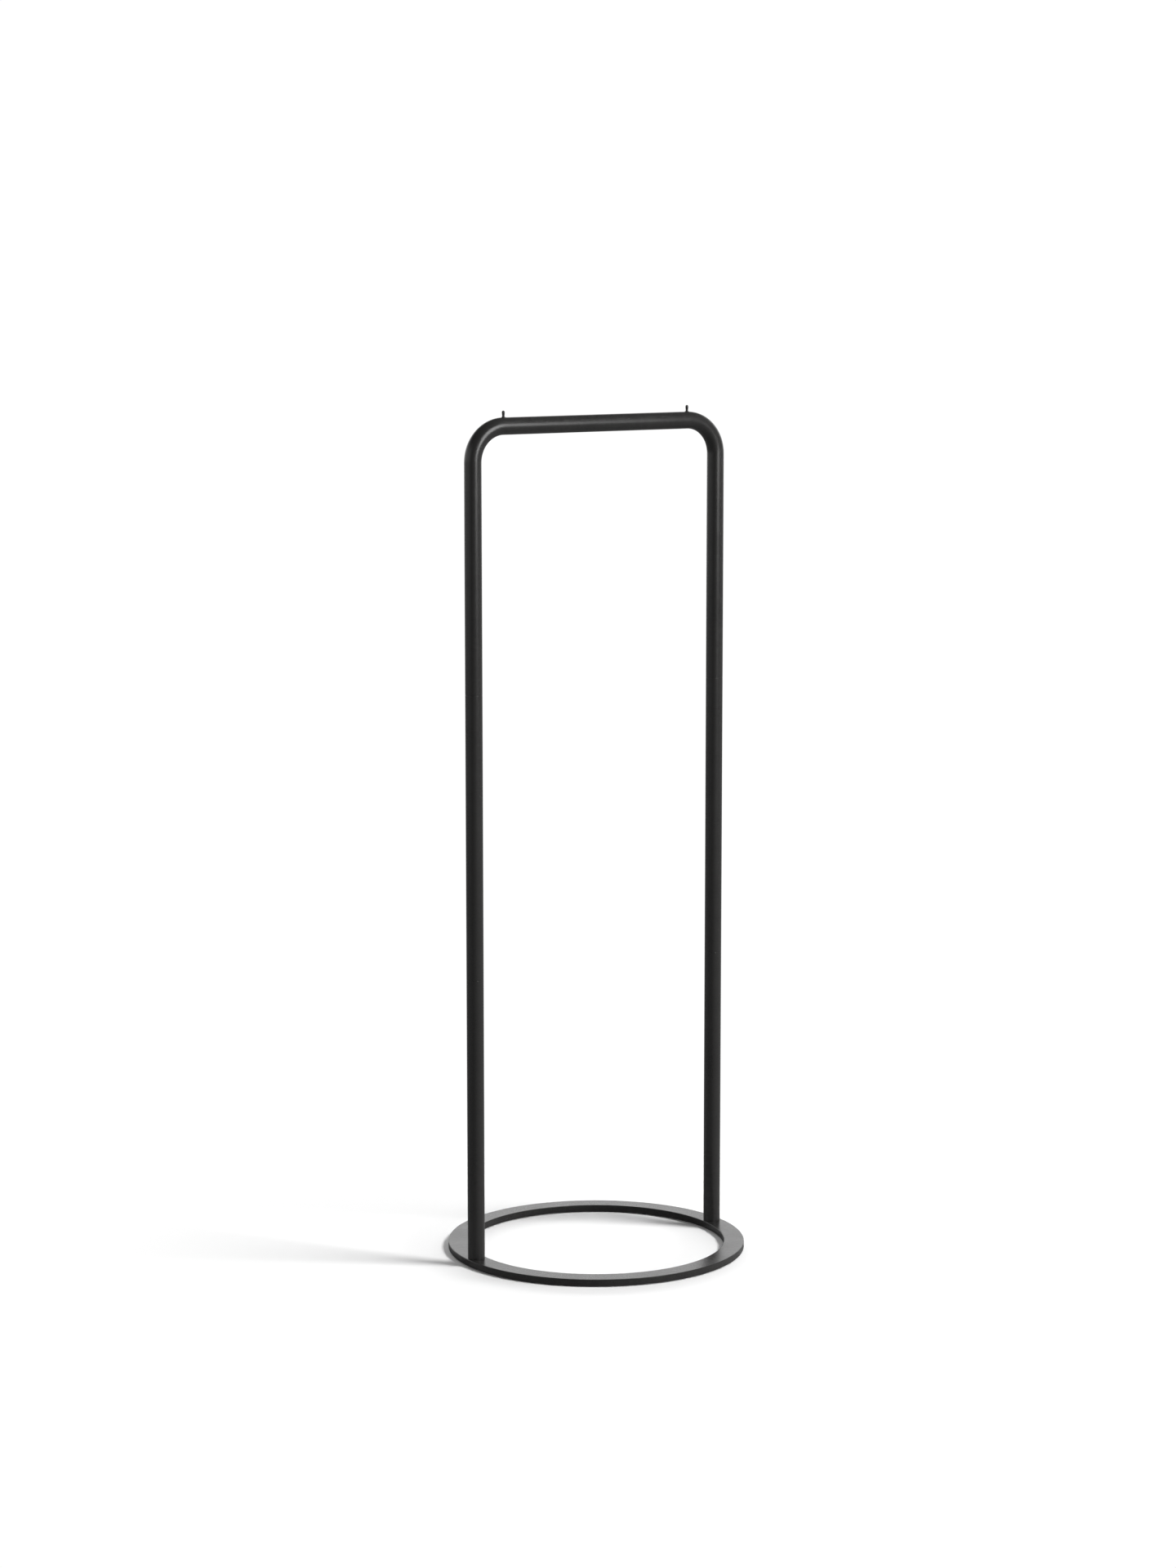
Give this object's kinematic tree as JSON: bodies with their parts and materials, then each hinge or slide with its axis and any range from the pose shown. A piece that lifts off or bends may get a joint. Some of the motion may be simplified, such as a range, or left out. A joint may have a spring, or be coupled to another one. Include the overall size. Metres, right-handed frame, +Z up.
{
  "type": "standing coat rack",
  "caption": "Free-standing coat rack: a tall inverted-U hoop of round steel tube standing on a flat ring base, with small stops at the ends of its hanging rail.",
  "frame": {"origin": "on the floor, at the centre of the base ring", "axes": "+Z up; X along the hanging rail, so the legs stand at -X (left) and +X (right); Y across the rail"},
  "size_m": [0.5299, 0.53, 1.5],
  "materials": {
    "black_powder_coat": "black powder coat, fine texture, semi-gloss",
    "zinc_plated_steel": "turned steel, bright zinc plate",
    "blackened_screw_steel": "blackened steel, lightly oiled",
    "floor_pad_rubber": "matt black rubber"
  },
  "bodies": {
    "root": {"base_ring": "black_powder_coat", "floor_pad_1": "floor_pad_rubber", "floor_pad_2": "floor_pad_rubber", "floor_pad_3": "floor_pad_rubber", "floor_pad_4": "floor_pad_rubber", "floor_pad_5": "floor_pad_rubber", "floor_pad_6": "floor_pad_rubber", "base_screw_left": "blackened_screw_steel", "lower_leg_foot_plug_left": "zinc_plated_steel", "lower_leg_left": "black_powder_coat", "lower_leg_top_plug_left": "zinc_plated_steel", "lower_joint_stud_left": "zinc_plated_steel", "middle_leg_foot_plug_left": "zinc_plated_steel", "middle_leg_left": "black_powder_coat", "middle_leg_top_plug_left": "zinc_plated_steel", "upper_joint_stud_left": "zinc_plated_steel", "hoop_end_plug_left": "zinc_plated_steel", "hanger_stop_left": "black_powder_coat", "base_screw_right": "blackened_screw_steel", "lower_leg_foot_plug_right": "zinc_plated_steel", "lower_leg_right": "black_powder_coat", "lower_leg_top_plug_right": "zinc_plated_steel", "lower_joint_stud_right": "zinc_plated_steel", "middle_leg_foot_plug_right": "zinc_plated_steel", "middle_leg_right": "black_powder_coat", "middle_leg_top_plug_right": "zinc_plated_steel", "upper_joint_stud_right": "zinc_plated_steel", "hoop_end_plug_right": "zinc_plated_steel", "hanger_stop_right": "black_powder_coat", "top_hoop": "black_powder_coat"}
  },
  "joints": []
}
